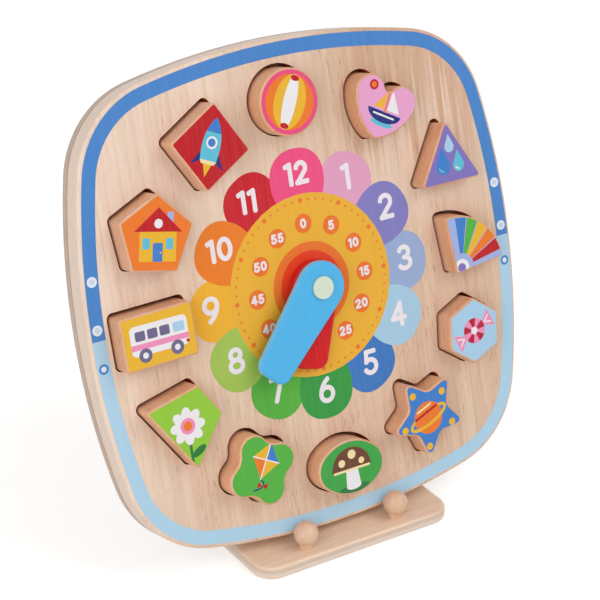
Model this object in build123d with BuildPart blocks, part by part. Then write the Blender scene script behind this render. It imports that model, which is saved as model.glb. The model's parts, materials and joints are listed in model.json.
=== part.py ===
"""Wooden shape sorting clock: a leaning board with twelve cut-outs, loose blocks and two hands."""
import os
from math import acos, atan2, cos, degrees, radians, sin, sqrt, tan

from build123d import *

# Stand, in millimetres and degrees
base_width = 140.0
base_depth = 120.0
base_thickness = 8.0
base_corner = 14.0
base_edge_round = 2.0
lean = 15.0
rest_setback = 38.5
rest_width = 96.0
rest_thickness = 12.0
rest_height = 112.0
rest_top_corner = 24.0
rest_edge_round = 1.5
groove_depth = 5.0
peg_spacing = 66.0
peg_ball_diameter = 15.4
peg_ball_height = 9.8
peg_stem_diameter = 9.2
peg_tenon_diameter = 8.0
peg_tenon_length = 5.5
screw_spacing = 60.0
screw_diameter = 4.0
screw_head_diameter = 8.0
screw_length = 18.0
screw_recess = 0.3
screw_slot_width = 1.0
screw_slot_depth = 1.0

# Clock board
board_width = 300.0
board_side_radius = 444.0
board_corner_radius = 60.0
board_edge_round = 1.5
face_thickness = 13.0
panel_thickness = 7.5

# Hands and their axle
hub_radius = 16.0
hand_tip_width = 23.4
hand_tip_corner = 7.0
hand_thickness = 5.6
hand_edge_round = 1.8
hand_to_ring = 51.6
hand_difference = 12.9
short_hand_angle = 193.2
long_hand_angle = 223.0
axle_diameter = 8.0
axle_seat_depth = 3.0
cap_diameter = 14.0
cap_thickness = 1.6
cap_edge_round = 0.7
washer_diameter = 18.0
washer_thickness = 0.6

# Sorting blocks, with the sizes of their flat printed faces
block_inset = 35.0
block_proud = 12.5
block_edge_chamfer = 1.0
block_corner = 1.2
circle_diameter = 38.0
heart_lobe_radius = 9.3
heart_lobe_spacing = 23.8
heart_height = 34.7
heart_side_radius = 33.8
heart_notch_radius = 4.5
heart_tip_round = 1.9
triangle_side = 42.0
quarter_radius = 34.6
hexagon_radius = 19.9
star_radius = 26.9
star_notch_radius = 13.8
star_tip_round = 2.4
star_notch_round = 7.0
oval_width = 44.5
oval_height = 32.3
oval_end_radius = 12.6
quatrefoil_lobe_radius = 8.9
quatrefoil_reach = 22.1
quatrefoil_waist = 16.0
trapezoid_long_side = 47.3
trapezoid_short_side = 22.9
trapezoid_height = 32.1
rectangle_width = 44.8
rectangle_height = 29.9
pentagon_radius = 23.5
square_side = 35.0

# Clearances
block_clearance = 1.6
block_settle = 0.8
axle_clearance = 0.1
running_clearance = 0.3
standing_gap = 0.3
rest_gap = 0.2
glue_gap = 0.1

# Each block's lead on its hour, step out from the ring and own turn, clockwise from the front
block_places = {
    "circle": (-2.4, -1.7, 0.0),
    "heart": (1.3, -2.0, 29.4),
    "triangle": (1.4, 1.5, 0.0),
    "quarter_circle": (-1.2, -3.5, -6.0),
    "hexagon": (-3.2, 2.7, 5.7),
    "star": (-3.0, 1.0, -31.3),
    "oval": (-1.3, -0.8, 2.5),
    "quatrefoil": (0.5, -0.5, -16.0),
    "trapezoid": (0.6, -1.0, 56.4),
    "rectangle": (-1.5, -3.8, -1.1),
    "pentagon": (-2.3, 1.8, 11.9),
    "square": (-1.8, -0.4, -31.0),
}

# Where the board stands: its lowest edge just over the base, its back against the slanted rest
board_half = board_width / 2
board_thickness = face_thickness + panel_thickness
lean_cos = cos(radians(lean))
lean_sin = sin(radians(lean))
foot_reach = (board_half - board_edge_round) * lean_cos
foot_drop = (board_thickness - board_edge_round) * lean_sin
dial_height = base_thickness + standing_gap + board_edge_round + foot_reach + foot_drop
back_offset = board_thickness + rest_gap
rest_foot_y = rest_setback - base_depth / 2
dial_y = rest_foot_y - back_offset / lean_cos + (dial_height - base_thickness) * tan(radians(lean))
board_normal = (0, -lean_cos, lean_sin)
board_plane = Plane(origin=(0, dial_y, dial_height), x_dir=(1, 0, 0), z_dir=board_normal)
board_axis = Axis(board_plane.origin, board_plane.z_dir)

os.makedirs("parts", exist_ok=True)


def write_piece(builder, name):
    """Label a finished piece and write it as its own file."""
    builder.part.label = name
    export_step(builder.part, f"parts/{name}.step")


def block_location(name):
    """A block's place by its hour from twelve on, with its own turn, in the board's plane."""
    lead, step, turn = block_places[name]
    angle = radians(360 / len(block_places) * list(block_places).index(name) + lead)
    reach = board_half - block_inset + step
    return Location((reach * sin(angle), reach * cos(angle), 0), (0, 0, -turn))


# Screws run up through the base into the middle of the rest's foot
rest_middle = rest_foot_y + rest_thickness / lean_cos / 2
screw_y = rest_middle + (screw_length / 2 - base_thickness) * tan(radians(lean))
screw_head_height = (screw_head_diameter - screw_diameter) / 2
screw_places = {
    "screw_left": (-screw_spacing / 2, screw_y),
    "screw_right": (screw_spacing / 2, screw_y),
}

# Back rest: a slanted plate with its foot cut level to sit in the groove
rest_plane = board_plane.offset(-back_offset)
rest_foot = (base_thickness - rest_plane.origin.Z) / lean_cos
rest_tail = (groove_depth + rest_thickness) / lean_cos
groove_floor = Plane.XY.offset(base_thickness - groove_depth)

with BuildPart() as back_rest:
    with BuildSketch(rest_plane) as rest_profile:
        with Locations((0, rest_foot - rest_tail)):
            Rectangle(rest_width, rest_height + rest_tail, align=(Align.CENTER, Align.MIN))
        fillet(rest_profile.vertices().group_by(Axis.Y)[-1], rest_top_corner)
    extrude(amount=-rest_thickness)
    split(bisect_by=groove_floor, keep=Keep.TOP)
    rest_rim = back_rest.edges().filter_by(board_axis, reverse=True).group_by(Axis.Z)[1:]
    fillet([edge for group in rest_rim for edge in group], rest_edge_round)
    with BuildSketch():
        with Locations(*screw_places.values()):
            Circle(screw_diameter / 2 + glue_gap)
    extrude(amount=screw_recess + screw_length + glue_gap, mode=Mode.SUBTRACT)
write_piece(back_rest, "back_rest")

with BuildPart() as groove_tool:
    with BuildSketch(rest_plane.offset(glue_gap)):
        with Locations((0, rest_foot - rest_tail)):
            Rectangle(
                rest_width + 2 * glue_gap,
                rest_height + rest_tail,
                align=(Align.CENTER, Align.MIN),
            )
    extrude(amount=-rest_thickness - 2 * glue_gap)
    split(bisect_by=groove_floor, keep=Keep.TOP)

# Pegs stand so that their ball heads just clear the leaning face
peg_y = (
    dial_y
    + (base_thickness + peg_ball_height - dial_height) * tan(radians(lean))
    - (peg_ball_diameter / 2 + standing_gap) / lean_cos
)
peg_neck_height = peg_ball_height - sqrt(peg_ball_diameter**2 - peg_stem_diameter**2) / 2
peg_places = {
    "peg_left": (-peg_spacing / 2, peg_y),
    "peg_right": (peg_spacing / 2, peg_y),
}

with BuildPart() as base_plate:
    with BuildSketch():
        RectangleRounded(base_width, base_depth, base_corner)
    extrude(amount=base_thickness)
    rims = base_plate.edges().group_by(Axis.Z)
    fillet(rims[0] + rims[-1], base_edge_round)
    add(groove_tool.part, mode=Mode.SUBTRACT)
    with BuildSketch(Plane.XY.offset(base_thickness)):
        with Locations(*peg_places.values()):
            Circle(peg_tenon_diameter / 2 + glue_gap)
    extrude(amount=-peg_tenon_length - glue_gap, mode=Mode.SUBTRACT)
    with BuildSketch():
        with Locations(*screw_places.values()):
            Circle(screw_diameter / 2 + glue_gap)
    extrude(amount=base_thickness, mode=Mode.SUBTRACT)
    with BuildSketch():
        with Locations(*screw_places.values()):
            Circle(screw_head_diameter / 2 + glue_gap + screw_recess)
    extrude(amount=screw_head_height + screw_recess, taper=45, mode=Mode.SUBTRACT)
write_piece(base_plate, "base_plate")

for name, place in peg_places.items():
    with BuildPart() as peg:
        with BuildSketch(Plane(origin=(*place, base_thickness), x_dir=(1, 0, 0), z_dir=(0, -1, 0))):
            with BuildLine():
                outline = Polyline(
                    (0, peg_ball_height + peg_ball_diameter / 2),
                    (0, -peg_tenon_length),
                    (peg_tenon_diameter / 2, -peg_tenon_length),
                    (peg_tenon_diameter / 2, 0),
                    (peg_stem_diameter / 2, 0),
                    (peg_stem_diameter / 2, peg_neck_height),
                )
                ThreePointArc(
                    outline @ 1,
                    (peg_ball_diameter / 2, peg_ball_height),
                    outline @ 0,
                )
            make_face()
        revolve(axis=Axis((*place, 0), (0, 0, 1)))
    write_piece(peg, name)

for name, place in screw_places.items():
    with BuildPart() as screw:
        with BuildSketch(Plane.XY.offset(screw_recess)):
            with Locations(place):
                Circle(screw_head_diameter / 2)
        extrude(amount=screw_head_height, taper=45)
        with BuildSketch(Plane.XY.offset(screw_recess)):
            with Locations(place):
                Circle(screw_diameter / 2)
        extrude(amount=screw_length)
        with BuildSketch(Plane.XY.offset(screw_recess)):
            with Locations(place):
                Rectangle(screw_head_diameter, screw_slot_width)
        extrude(amount=screw_slot_depth, mode=Mode.SUBTRACT)
    write_piece(screw, name)


# Outlines of the printed faces, each about its own centre and upright
def circle_outline():
    """Plain round block."""
    with BuildSketch() as outline:
        Circle(circle_diameter / 2)
    return outline.sketch


def heart_outline():
    """Two round lobes, a hollow between them and wide bulging sides down to the tip, all tangent."""
    lobe_x = heart_lobe_spacing / 2
    lobe_y = heart_height / 2 - heart_lobe_radius
    growth = heart_side_radius - heart_lobe_radius
    tip_drop = heart_height - heart_lobe_radius
    tip_reach = sqrt(lobe_x**2 + tip_drop**2)
    tip_share = (heart_side_radius**2 - growth**2 - tip_reach**2) / (2 * growth * tip_reach)
    tangent = atan2(-tip_drop, -lobe_x) + acos(tip_share)
    side_x = lobe_x - growth * cos(tangent)
    side_y = lobe_y - growth * sin(tangent)
    side_start = degrees(atan2(-heart_height / 2 - side_y, -side_x))
    lobe_start = degrees(tangent)
    hollow_rise = sqrt((heart_lobe_radius + heart_notch_radius) ** 2 - lobe_x**2)
    hollow_end = degrees(atan2(-hollow_rise, lobe_x))
    with BuildSketch() as outline:
        with BuildLine():
            CenterArc((side_x, side_y), heart_side_radius, side_start, lobe_start - side_start)
            CenterArc((lobe_x, lobe_y), heart_lobe_radius, lobe_start, 180 + hollow_end - lobe_start)
            CenterArc((0, lobe_y + hollow_rise), heart_notch_radius, -90, hollow_end + 90)
            mirror(about=Plane.YZ)
        make_face()
        fillet(outline.vertices().sort_by(Axis.Y)[0], heart_tip_round)
    return outline.sketch


def triangle_outline():
    """Equal-sided triangle, point up."""
    with BuildSketch() as outline:
        RegularPolygon(triangle_side / sqrt(3), 3, rotation=90)
        fillet(outline.vertices(), block_corner)
    return outline.sketch


def quarter_circle_outline():
    """Quarter of a disc with its square corner at lower left, about its centre of area."""
    with BuildSketch() as outline:
        Circle(quarter_radius)
        Rectangle(quarter_radius, quarter_radius, align=Align.MIN, mode=Mode.INTERSECT)
        fillet(outline.vertices(), block_corner)
    return outline.sketch.moved(Location(-outline.sketch.face().center()))


def hexagon_outline():
    """Regular hexagon, point up."""
    with BuildSketch() as outline:
        RegularPolygon(hexagon_radius, 6, rotation=90)
        fillet(outline.vertices(), block_corner)
    return outline.sketch


def star_outline():
    """Five-pointed star with soft notches."""
    points = []
    for step in range(10):
        radius = star_radius if step % 2 == 0 else star_notch_radius
        angle = radians(36 * step)
        points.append((radius * sin(angle), radius * cos(angle)))
    with BuildSketch() as outline:
        with BuildLine():
            Polyline(*points, close=True)
        make_face()
        rings = outline.vertices().sort_by_distance((0, 0, 0))
        fillet(rings[:5], star_notch_round)
        tips = outline.vertices().sort_by_distance((0, 0, 0))[-5:]
        fillet(tips, star_tip_round)
    return outline.sketch


def oval_outline():
    """Lying oval of two tight and two wide tangent arcs."""
    half_height = oval_height / 2
    end_at = oval_width / 2 - oval_end_radius
    wide_radius = (end_at**2 + half_height**2 - oval_end_radius**2) / (oval_height - 2 * oval_end_radius)
    wide_at = half_height - wide_radius
    sweep = degrees(atan2(end_at, -wide_at))
    with BuildSketch() as outline:
        with BuildLine():
            CenterArc((end_at, 0), oval_end_radius, 0, 90 - sweep)
            CenterArc((0, wide_at), wide_radius, 90 - sweep, sweep)
            mirror(about=Plane.YZ)
            mirror(about=Plane.XZ)
        make_face()
    return outline.sketch


def quatrefoil_outline():
    """Four round lobes joined by hollow arcs tangent to them."""
    lobe = quatrefoil_lobe_radius
    lobe_at = quatrefoil_reach - lobe
    hollow = (
        (quatrefoil_waist**2 - sqrt(2) * lobe_at * quatrefoil_waist + lobe_at**2 - lobe**2)
        / (2 * lobe - 2 * quatrefoil_waist + sqrt(2) * lobe_at)
    )
    hollow_at = (quatrefoil_waist + hollow) / sqrt(2)
    dip = degrees(atan2(hollow_at - lobe_at, hollow_at))
    with BuildSketch() as outline:
        with BuildLine():
            CenterArc((lobe_at, 0), lobe, 0, 90 - dip)
            CenterArc((hollow_at, hollow_at), hollow, 180 + dip, 90 - 2 * dip)
            CenterArc((0, lobe_at), lobe, dip, 90 - dip)
            mirror(about=Plane.YZ)
            mirror(about=Plane.XZ)
        make_face()
    return outline.sketch


def trapezoid_outline():
    """Even-sided trapezoid, short side up."""
    half_height = trapezoid_height / 2
    with BuildSketch() as outline:
        with BuildLine():
            Polyline(
                (-trapezoid_long_side / 2, -half_height),
                (trapezoid_long_side / 2, -half_height),
                (trapezoid_short_side / 2, half_height),
                (-trapezoid_short_side / 2, half_height),
                close=True,
            )
        make_face()
        fillet(outline.vertices(), block_corner)
    return outline.sketch


def rectangle_outline():
    """Lying rectangle."""
    with BuildSketch() as outline:
        RectangleRounded(rectangle_width, rectangle_height, block_corner)
    return outline.sketch


def pentagon_outline():
    """Regular pentagon, point up."""
    with BuildSketch() as outline:
        RegularPolygon(pentagon_radius, 5, rotation=90)
        fillet(outline.vertices(), block_corner)
    return outline.sketch


def square_outline():
    """Plain square."""
    with BuildSketch() as outline:
        RectangleRounded(square_side, square_side, block_corner)
    return outline.sketch


outlines = {
    "circle": circle_outline(),
    "heart": heart_outline(),
    "triangle": triangle_outline(),
    "quarter_circle": quarter_circle_outline(),
    "hexagon": hexagon_outline(),
    "star": star_outline(),
    "oval": oval_outline(),
    "quatrefoil": quatrefoil_outline(),
    "trapezoid": trapezoid_outline(),
    "rectangle": rectangle_outline(),
    "pentagon": pentagon_outline(),
    "square": square_outline(),
}

# Board outline: a square swollen into four long arcs, with tangent corner arcs
side_offset = board_side_radius - board_half
corner_reach = board_side_radius - board_corner_radius
corner_at = (sqrt(2 * corner_reach**2 - side_offset**2) - side_offset) / 2
side_sweep = degrees(atan2(corner_at, corner_at + side_offset))

with BuildSketch() as board_outline:
    with BuildLine():
        CenterArc((-side_offset, 0), board_side_radius, 0, side_sweep)
        CenterArc((corner_at, corner_at), board_corner_radius, side_sweep, 90 - 2 * side_sweep)
        CenterArc((0, -side_offset), board_side_radius, 90 - side_sweep, side_sweep)
        mirror(about=Plane.YZ)
        mirror(about=Plane.XZ)
    make_face()


def grown_outline(name, amount):
    """A printed face's outline in its place on the board, moved out on all sides."""
    with BuildSketch() as grown:
        add(outlines[name])
        offset(amount=amount)
    return grown.sketch.moved(block_location(name))


# Each cut-out follows its block with the clearance all round, and the block has settled down in it
cut_out_rise = Location((0, block_settle, 0))
with BuildPart() as face_board:
    with BuildSketch(board_plane):
        add(board_outline.sketch)
        for name in outlines:
            cut_out = grown_outline(name, block_edge_chamfer + block_clearance)
            add(cut_out.moved(cut_out_rise), mode=Mode.SUBTRACT)
        Circle(axle_diameter / 2 + glue_gap, mode=Mode.SUBTRACT)
    extrude(amount=-face_thickness)
    front = face_board.faces().filter_by(board_plane).sort_by(board_axis)[-1]
    fillet(front.outer_wire().edges(), board_edge_round)
write_piece(face_board, "face_board")

panel_plane = board_plane.offset(-face_thickness)
with BuildPart() as back_panel:
    with BuildSketch(panel_plane):
        add(board_outline.sketch)
    extrude(amount=-panel_thickness)
    fillet(back_panel.faces().sort_by(board_axis)[0].edges(), board_edge_round)
    with BuildSketch(panel_plane):
        Circle(axle_diameter / 2 + glue_gap)
    extrude(amount=-axle_seat_depth - glue_gap, mode=Mode.SUBTRACT)
write_piece(back_panel, "back_panel")

# Hands stacked on the axle, a washer under each
short_hand_level = washer_thickness
long_hand_level = short_hand_level + hand_thickness + washer_thickness
cap_level = long_hand_level + hand_thickness + running_clearance
long_hand_length = board_half - block_inset - hand_to_ring
short_hand_length = long_hand_length - hand_difference
hands = {
    "short_hand": (short_hand_length, short_hand_angle, short_hand_level),
    "long_hand": (long_hand_length, long_hand_angle, long_hand_level),
}

for name, (length, angle, level) in hands.items():
    tip_x = hand_tip_width / 2 - hand_tip_corner
    tip_y = length - hand_tip_corner
    with BuildSketch() as hand_outline:
        Circle(hub_radius)
        with Locations((-tip_x, tip_y), (tip_x, tip_y)):
            Circle(hand_tip_corner)
        make_hull()
    with BuildPart() as hand:
        with BuildSketch(board_plane.offset(level)):
            add(hand_outline.sketch.moved(Location((0, 0, 0), (0, 0, -angle))))
        extrude(amount=hand_thickness)
        faces = hand.faces().sort_by(board_axis)
        fillet(faces[0].edges() + faces[-1].edges(), hand_edge_round)
        with BuildSketch(board_plane.offset(level)):
            Circle(axle_diameter / 2 + axle_clearance)
        extrude(amount=hand_thickness, mode=Mode.SUBTRACT)
    write_piece(hand, name)

with BuildPart() as hand_axle:
    with BuildSketch(panel_plane.offset(-axle_seat_depth)):
        Circle(axle_diameter / 2)
    extrude(amount=axle_seat_depth + face_thickness + cap_level)
    with BuildSketch(board_plane.offset(cap_level)):
        Circle(cap_diameter / 2)
    extrude(amount=cap_thickness)
    fillet(hand_axle.faces().sort_by(board_axis)[-1].edges(), cap_edge_round)
write_piece(hand_axle, "hand_axle")

washer_levels = {
    "washer_lower": 0.0,
    "washer_upper": short_hand_level + hand_thickness,
}
for name, level in washer_levels.items():
    with BuildPart() as washer:
        with BuildSketch(board_plane.offset(level)):
            Circle(washer_diameter / 2)
            Circle(axle_diameter / 2 + glue_gap, mode=Mode.SUBTRACT)
        extrude(amount=washer_thickness)
    write_piece(washer, name)

# Blocks stand on the back panel inside their cut-outs and rise above the face
for name in outlines:
    with BuildPart() as block:
        with BuildSketch(panel_plane):
            add(grown_outline(name, block_edge_chamfer))
        extrude(amount=face_thickness + block_proud)
        faces = block.faces().sort_by(board_axis)
        chamfer(faces[0].edges() + faces[-1].edges(), block_edge_chamfer)
    write_piece(block, f"{name}_block")
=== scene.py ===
"""Finishes, prints and studio stage for a wooden shape sorting clock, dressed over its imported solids."""
import json
from math import asin, atan2, copysign, cos, degrees, hypot, pi, radians, sin
from typing import NamedTuple

import bpy
from bpy.props import FloatProperty, FloatVectorProperty, PointerProperty
from mathutils import Matrix, Vector
from mathutils.geometry import delaunay_2d_cdt


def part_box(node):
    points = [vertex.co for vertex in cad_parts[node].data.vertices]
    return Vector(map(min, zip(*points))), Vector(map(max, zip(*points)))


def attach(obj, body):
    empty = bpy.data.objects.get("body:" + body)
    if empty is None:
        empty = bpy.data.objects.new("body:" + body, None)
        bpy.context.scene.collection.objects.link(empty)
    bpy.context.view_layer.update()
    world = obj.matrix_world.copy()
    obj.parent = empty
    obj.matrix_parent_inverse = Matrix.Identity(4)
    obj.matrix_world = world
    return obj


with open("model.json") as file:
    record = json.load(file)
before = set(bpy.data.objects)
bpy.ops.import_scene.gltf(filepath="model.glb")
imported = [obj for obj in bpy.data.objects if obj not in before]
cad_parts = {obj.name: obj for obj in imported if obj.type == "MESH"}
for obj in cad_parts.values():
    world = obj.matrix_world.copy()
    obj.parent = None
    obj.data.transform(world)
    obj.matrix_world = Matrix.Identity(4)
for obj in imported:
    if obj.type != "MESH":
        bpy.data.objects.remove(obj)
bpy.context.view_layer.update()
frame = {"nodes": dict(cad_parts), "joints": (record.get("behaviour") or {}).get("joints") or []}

bl_info = {
    "name": "Shape sorting clock",
    "version": (1, 0, 0),
    "blender": (4, 5, 0),
    "location": "View3D > Sidebar > Clock",
    "description": "Dresses the shape sorting clock in timber, paint and printed inks and sets its stage",
    "category": "Object",
}

MM = 0.001
JOINTS = {joint["name"]: joint for joint in frame["joints"]}

# The board's own frame: right, up the board and out of its face, about the middle of the dial
NORMAL = Vector(JOINTS["long_hand_turn"]["axis"]).normalized()
RIGHT = Vector((1, 0, 0))
UP = NORMAL.cross(RIGHT)
DIAL = Vector(JOINTS["long_hand_turn"]["pos_m"])
BOARD = Matrix((RIGHT, UP, NORMAL)).transposed().to_4x4()
BOARD.translation = DIAL
LEAN = atan2(NORMAL.z, -NORMAL.y)

BLOCKS = [name.removesuffix("_block") for name in frame["nodes"] if name.endswith("_block")]

# Turns that bring the grain along a piece to the third axis
UP_THE_BOARD = (LEAN, 0.0, 0.0)
ALONG_THE_BASE = (0.0, -pi / 2, 0.0)
UPRIGHT = (0.0, 0.0, 0.0)

# Stretches of the shaders' noise that hold most of its values and nearly all of them
MIDDLE_NOISE = (0.3, 0.7)
WIDE_NOISE = (0.2, 0.8)


class Marking(NamedTuple):
    """A marking drawn out along the grain of timber."""

    # Its size across and along the grain, in millimetres, and the detail of its noise
    across: float
    length: float
    detail: float
    # The stretch of the noise over which it comes in, and its share before and after
    fade: tuple = MIDDLE_NOISE
    share: tuple = (0.0, 1.0)


BANDS = Marking(46, 620, 2, fade=(0.36, 0.66), share=(0.0, 0.42))
LINES = Marking(5.5, 150, 4, fade=(0.34, 0.7), share=(0.0, 0.4))
FIBRES = Marking(1.1, 34, 2, share=(-0.12, 0.22))
FLECKS = Marking(16, 170, 3, fade=(0.46, 0.7), share=(0.0, 0.6))
PORES = Marking(0.9, 7.5, 1, fade=(0.56, 0.72))
PORE_PATCHES = Marking(12, 60, 2, fade=(0.4, 0.65), share=(0.25, 1.0))
# Streaks in the pale zone at the upper left, which is partly sapwood and partly a painted sheen
SAP_SHEEN_STREAKS = Marking(2.6, 75, 4, fade=(0.42, 0.66), share=(1.0, 0.45))
HEART_STREAKS = Marking(4.5, 210, 3, fade=(0.32, 0.68), share=(0.22, 0.55))
COAT_FIBRES = Marking(0.9, 26, 2, fade=(0.3, 0.75))
COAT_CLOUDS = Marking(14, 60, 2, fade=(0.35, 0.7))
# Edges that wander, of the pale zone of sapwood and painted sheen and of the heartwood: the share is how
# far, in metres
SAP_SHEEN_EDGE = Marking(34, 300, 3, share=(-0.05, 0.05))
HEART_ENDS = Marking(3.2, 400, 1, share=(-0.03, 0.03))

# Depths of relief in millimetres, gloss, and roughness from the smoothest spots to the roughest
GRAIN_RELIEF = 0.12
COAT_RELIEF = 0.05
TIMBER_GLOSS = 0.3
COAT_GLOSS = 0.2
TIMBER_ROUGHNESS = (0.36, 0.52)
COAT_ROUGHNESS = (0.36, 0.46)

# How squarely a surface faces along a board's axis where it stops being an edge
EDGE_FADE = (0.2, 0.75)

# Timber seen through a thin coat, the deeper tone of its clouds, and how much of both shows in ink or paint
SHOWN_TIMBER = (1.0, 0.93, 0.86, 1.0)
CLOUD_TONE = (0.10, 0.05, 0.03, 1.0)
COAT_SHOW = 0.02

# Drawing: degrees between points on an arc, steps on a curve, and tolerances in millimetres
ARC_STEP = 9
CURVE_STEPS = 12
FLAT_TOLERANCE = 0.01
WELD_DISTANCE = 1e-4

# Numbers: space between digits as a share of their height, and how square the pen and a petal's tip are
DIGIT_GAP = 0.09
PEN_POWER = 0.7
PETAL_POWER = 0.89


def linear(red, green, blue):
    """A colour written as 0 to 255 display values, as the linear values that shaders use."""
    shares = (value / 255 for value in (red, green, blue))
    return tuple(s / 12.92 if s <= 0.04045 else ((s + 0.055) / 1.055) ** 2.4 for s in shares)


# Inks of the dial, the border and the pictures on the blocks, as display values
INKS = {
    "petal_12": (232, 76, 127),
    "petal_1": (220, 156, 188),
    "petal_2": (126, 122, 186),
    "petal_3": (148, 168, 206),
    "petal_4": (162, 198, 220),
    "petal_5": (58, 116, 186),
    "petal_6": (50, 148, 62),
    "petal_7": (82, 170, 58),
    "petal_8": (158, 190, 82),
    "petal_9": (234, 174, 44),
    "petal_10": (230, 122, 32),
    "petal_11": (196, 24, 38),
    "disc_yellow": (230, 172, 50),
    "ring_orange": (230, 113, 36),
    "centre_red": (228, 60, 22),
    "minute_brown": (222, 128, 40),
    "numeral_white": (232, 224, 230),
    "stripe_deep": (70, 130, 198),
    "stripe_light": (170, 206, 228),
    "dot_white": (222, 230, 240),
    "dot_grey": (200, 210, 226),
    "rose": (228, 74, 124),
    "blush": (226, 158, 200),
    "violet": (124, 110, 182),
    "lavender": (158, 172, 220),
    "sky": (164, 200, 226),
    "blue": (58, 122, 196),
    "leaf": (58, 158, 66),
    "grass": (80, 172, 62),
    "lime": (142, 194, 56),
    "sun": (228, 176, 44),
    "orange": (230, 118, 36),
    "red": (184, 20, 30),
    "navy": (26, 42, 116),
    "cyan": (92, 184, 208),
    "cream": (238, 218, 160),
    "white": (232, 228, 230),
    "brown": (104, 62, 44),
    "slate": (106, 98, 134),
    "pink": (232, 140, 180),
    "crimson": (178, 16, 52),
    "green": (34, 116, 56),
}


def colour_property(label, use, rgb):
    """A colour that a user can change, from its display values."""
    return FloatVectorProperty(
        name=label, description=use, default=linear(*rgb), subtype="COLOR", min=0, max=1,
    )


def length_property(label, use, millimetres):
    """A length that a user can change, written in millimetres."""
    return FloatProperty(name=label, description=use, default=millimetres * MM, unit="LENGTH", precision=5)


class ClockInks(bpy.types.PropertyGroup):
    """Printed inks."""

    __annotations__ = {
        name: colour_property(name.replace("_", " "), f"Printed ink: {name.replace('_', ' ')}", rgb)
        for name, rgb in INKS.items()
    }


class ClockFinishes(bpy.types.PropertyGroup):
    """Timber tones and paints."""

    board_pale: colour_property("Board pale", "Pale timber of the face board", (228, 202, 177))
    board_deep: colour_property("Board deep", "Deeper streaks of the face board", (205, 169, 142))
    board_pore: colour_property("Board pores", "Pores and fine dark streaks", (166, 118, 90))
    # Pale tone of the upper left: partly sapwood, partly a painted sheen
    board_sap: colour_property("Board sapwood", "Palest zone of the face board", (239, 217, 200))
    board_heart: colour_property("Board heartwood", "Brown streaks high on the face board", (190, 144, 108))
    # Paler, greyer tone of the board's edges: painted bounce light from the white surroundings
    board_edge: colour_property("Board edge", "Sanded edge of the face board", (222, 202, 187))
    blush: colour_property("Blush", "Pinker streaks in the timber", (222, 182, 162))
    scorch: colour_property("Scorched cut", "Walls of the cut-outs, browned by the cutter", (182, 90, 40))
    seam: colour_property("Seam", "Glue line between the back panel and the face board", (150, 92, 60))
    pocket: colour_property("Pocket floors", "Back panel inside the cut-outs", (208, 146, 100))
    panel_pale: colour_property("Panel pale", "Pale timber of the back panel", (200, 180, 164))
    panel_deep: colour_property("Panel deep", "Deeper streaks of the back panel", (176, 152, 136))
    panel_blush: colour_property("Panel blush", "Warmer streaks of the back panel", (194, 169, 151))
    stand_pale: colour_property("Stand pale", "Pale timber of the stand", (242, 215, 189))
    stand_deep: colour_property("Stand deep", "Deeper streaks of the stand", (224, 192, 164))
    # Paler, greyer tone of the base's edges: painted bounce light
    stand_edge: colour_property("Stand edge", "Sanded edges of the base", (227, 210, 197))
    stand_ply: colour_property("Stand ply", "Deeper upper layer in the edges of the base", (208, 184, 165))
    peg_pale: colour_property("Peg pale", "Pale timber of the pegs", (226, 190, 158))
    peg_deep: colour_property("Peg deep", "Deeper streaks of the pegs", (208, 168, 136))
    block_pale: colour_property("Block pale", "Pale timber of the sorting blocks", (230, 177, 138))
    block_deep: colour_property("Block deep", "Deeper streaks of the sorting blocks", (209, 152, 115))
    long_hand: colour_property("Long hand", "Paint of the long hand", (76, 176, 228))
    # Lighter blue on the long hand's sides: painted light that lifts their shade
    hand_side: colour_property("Hand side", "Thinner paint on the sides of the long hand", (120, 198, 240))
    short_hand: colour_property("Short hand", "Paint of the short hand", (206, 12, 22))
    cap: colour_property("Axle cap", "Paint of the axle and its cap", (208, 220, 200))
    washer: colour_property("Washers", "Fibre of the washers", (214, 206, 186))
    steel: colour_property("Screws", "Plated steel of the screws", (190, 190, 194))
    ink_lift: length_property("Ink lift", "How far the printed ink lies over the timber", 0.05)


class ClockDial(bpy.types.PropertyGroup):
    """Sizes of the printed dial."""

    petal_reach: length_property("Petal reach", "From the middle of the dial to a petal's end", 83.9)
    petal_half: length_property("Petal half", "Half the width of a petal", 18.8)
    numeral_ring: length_property("Hour ring", "Radius on which the hour numbers stand", 67.5)
    numeral_rise: length_property("Hour rise", "How far the hour numbers sit above their ring", 1.3)
    disc_radius: length_property("Disc radius", "Radius of the yellow disc", 56.2)
    ring_radius: length_property("Ring radius", "Outer radius of the orange ring", 26.8)
    centre_radius: length_property("Centre radius", "Radius of the red middle", 21.3)
    numeral_height: length_property("Hour height", "Height of the single hour numbers", 16.4)
    double_height: length_property("Double height", "Height of the hour numbers with two digits", 14.6)
    numeral_stroke: length_property("Hour stroke", "Stroke of the hour numbers", 3.0)
    minute_ring: length_property("Minute ring", "Radius on which the minute numbers stand", 38.2)
    minute_spot: length_property("Minute spot", "Radius of the spot behind a minute number", 5.9)
    minute_height: length_property("Minute height", "Height of the minute numbers", 6.0)
    minute_stroke: length_property("Minute stroke", "Stroke of the minute numbers", 1.45)
    dot_ring: length_property("Dot ring", "Radius of the ring of minute dots", 52.3)
    dot_small: length_property("Small dot", "Radius of a minute dot", 0.8)
    dot_large: length_property("Large dot", "Radius of a five minute dot", 1.5)


class ClockBorder(bpy.types.PropertyGroup):
    """Sizes of the printed border."""

    margin: length_property("Margin", "Bare timber between the flat face's rim and the stripe", 0.7)
    stripe: length_property("Stripe", "Width of the border stripe", 8.6)
    shift: length_property("Shift", "How far the border print lies to the right", 0.35)
    turn: FloatProperty(
        name="Turn", description="How far the border print is turned clockwise",
        default=radians(0.34), subtype="ANGLE",
    )
    dot: length_property("Dot", "Radius of the dots on the border stripe", 3.1)


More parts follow.
